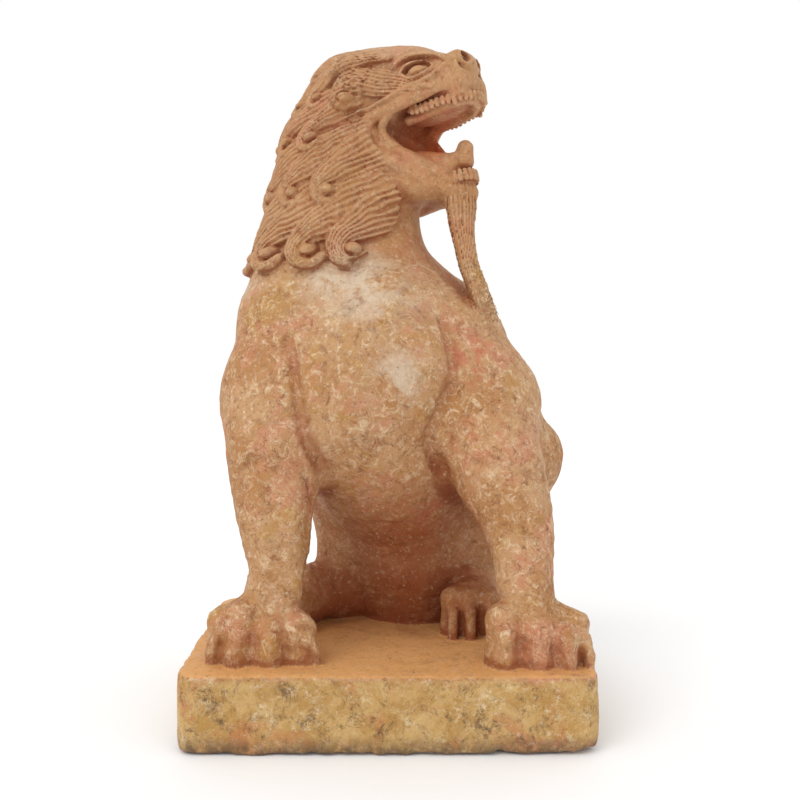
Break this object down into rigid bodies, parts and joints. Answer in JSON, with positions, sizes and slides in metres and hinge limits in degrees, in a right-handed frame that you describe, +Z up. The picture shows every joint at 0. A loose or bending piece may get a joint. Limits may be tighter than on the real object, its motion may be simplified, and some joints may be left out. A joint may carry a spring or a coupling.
{
  "type": "seated lion statue on a plinth",
  "caption": "Seated marble lion carved together with its rectangular plinth; the head is turned and raised with an open mouth, and the mane falls in curled locks",
  "frame": {"origin": "centre of the plinth's underside, which stands on the ground", "axes": "+Z up; -Y is the front, where the forelegs stand; +X is the lion's own left, to which its head is turned"},
  "size_m": [0.46, 0.37, 0.8256],
  "materials": {
    "marble": "weathered carved marble, warm tan with ochre, pink and red stains"
  },
  "bodies": {
    "root": {"lion_on_plinth": "marble"}
  },
  "joints": []
}
